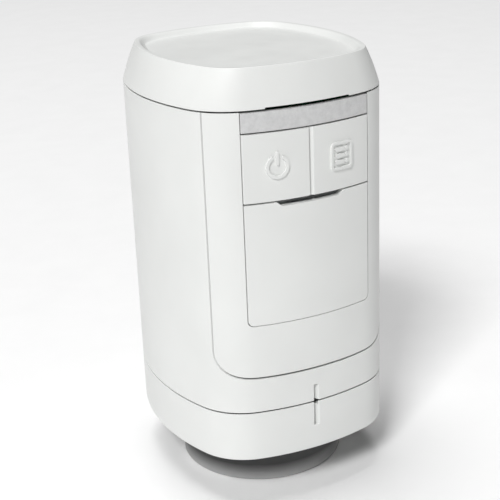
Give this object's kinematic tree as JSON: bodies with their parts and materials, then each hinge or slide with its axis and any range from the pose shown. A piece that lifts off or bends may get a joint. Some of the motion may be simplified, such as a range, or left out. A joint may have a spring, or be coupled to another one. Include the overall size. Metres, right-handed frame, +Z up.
{
  "type": "radiator valve actuator head",
  "caption": "Battery-powered motor head that screws on a radiator valve and moves its pin, with two push buttons, a light strip and a tilting battery door.",
  "frame": {"origin": "centre of the union nut's mouth, which is the lowest plane of the head", "axes": "+Z up along the head's own axis, away from the valve; the front with the buttons faces -Y; +X to the right as seen from the front"},
  "size_m": [0.054, 0.0578, 0.1036],
  "materials": {
    "white_shell": "fine moulded satin",
    "white_cap": "fine moulded satin",
    "white_buttons": "fine moulded satin",
    "white_door": "fine moulded satin",
    "light_diffuser": "translucent diffuser",
    "nut_metal": "nickel plated",
    "sleeve_plastic": "glass-filled satin",
    "inner_plastic": "moulded satin",
    "gear_plastic": "natural acetal",
    "switch_plastic": "moulded",
    "stem_plastic": "moulded",
    "motor_plastic": "moulded",
    "steel": "zinc plated",
    "lead_screw_steel": "turned",
    "contact_metal": "nickel plated",
    "cell_jacket": "plain printed film",
    "circuit_board": "solder resist",
    "led_white": "moulded",
    "sensor_bead": "resin bead",
    "bronze": "turned",
    "plunger_plastic": "glass-filled",
    "gasket_rubber": "matt",
    "wire_insulation": "satin"
  },
  "bodies": {
    "housing": {"main_housing": "white_shell", "top_cap": "white_cap", "front_bib": "white_shell", "light_guide": "light_diffuser", "battery_cradle": "inner_plastic", "rear_contacts": "contact_metal", "cell_left": "cell_jacket", "cell_right": "cell_jacket", "control_board": "circuit_board", "board_rails": "inner_plastic", "board_screws": "steel", "indicator_leds": "led_white", "radio_module": "contact_metal", "processor": "switch_plastic", "antenna": "switch_plastic", "temperature_sensor": "sensor_bead", "power_switch": "switch_plastic", "menu_switch": "switch_plastic", "gearbox_tray": "inner_plastic", "gearbox_lid": "inner_plastic", "gearbox_screws": "steel", "output_bush": "bronze", "thrust_washer": "steel", "axle_pins": "steel", "motor_can": "steel", "motor_end_cap": "motor_plastic", "motor_terminals": "contact_metal", "motor_wires": "wire_insulation", "base_plate": "sleeve_plastic", "base_screws": "steel", "spindle_gasket": "gasket_rubber", "valve_sleeve": "sleeve_plastic"},
    "power_button": {"power_button": "white_buttons", "power_switch_stem": "stem_plastic"},
    "menu_button": {"menu_button": "white_buttons", "menu_switch_stem": "stem_plastic"},
    "battery_door": {"battery_door": "white_door", "door_contact": "contact_metal"},
    "lock_ring": {"lock_ring": "white_shell"},
    "union_nut": {"union_nut": "nut_metal"},
    "output_gear": {"output_gear": "gear_plastic"},
    "intermediate_gear": {"intermediate_gear": "gear_plastic"},
    "first_gear": {"first_gear": "gear_plastic"},
    "motor_rotor": {"motor_shaft": "steel", "motor_pinion": "bronze"},
    "plunger": {"lead_screw": "lead_screw_steel", "plunger_foot": "plunger_plastic"}
  },
  "joints": [
    {"name": "power_button_press", "type": "slide", "parent": "housing", "child": "power_button", "axis": [0, 1, 0], "range_m": [0, 0.0005], "stiffness_N_per_m": 1500},
    {"name": "menu_button_press", "type": "slide", "parent": "housing", "child": "menu_button", "axis": [0, 1, 0], "range_m": [0, 0.0005], "stiffness_N_per_m": 1500},
    {"name": "battery_door_tilt", "type": "hinge", "parent": "housing", "child": "battery_door", "pos_m": [0, -0.02875, 0.0455], "axis": [1, 0, 0], "range_deg": [0, 40]},
    {"name": "lock_ring_turn", "type": "hinge", "parent": "housing", "child": "lock_ring", "pos_m": [0, 0, 0.018], "axis": [0, 0, 1], "range_deg": [0, 30]},
    {"name": "union_nut_spin", "type": "hinge", "parent": "housing", "child": "union_nut", "pos_m": [0, 0, 0.007], "axis": [0, 0, 1], "continuous": true},
    {"name": "output_gear_turn", "type": "hinge", "parent": "housing", "child": "output_gear", "pos_m": [0, 0, 0.0422], "axis": [0, 0, 1], "range_deg": [0, 1080]},
    {"name": "intermediate_gear_turn", "type": "hinge", "parent": "housing", "child": "intermediate_gear", "pos_m": [0.00812, 0.01261, 0.0462], "axis": [0, 0, 1], "range_deg": [-4321, 4321]},
    {"name": "first_gear_turn", "type": "hinge", "parent": "housing", "child": "first_gear", "pos_m": [0.015, 0.001, 0.049], "axis": [0, 0, 1], "range_deg": [-15121, 15121]},
    {"name": "motor_turn", "type": "hinge", "parent": "housing", "child": "motor_rotor", "pos_m": [0.01708, -0.01082, 0.049], "axis": [0, 0, 1], "range_deg": [-45361, 45361]},
    {"name": "plunger_stroke", "type": "slide", "parent": "housing", "child": "plunger", "axis": [0, 0, -1], "range_m": [0, 0.0045]}
  ],
  "couplings": [
    {"joint": "intermediate_gear_turn", "follows": "output_gear_turn", "ratio": -4},
    {"joint": "first_gear_turn", "follows": "output_gear_turn", "ratio": 14},
    {"joint": "motor_turn", "follows": "output_gear_turn", "ratio": -42},
    {"joint": "plunger_stroke", "follows": "output_gear_turn", "m_per_rad": 0.00023873}
  ]
}
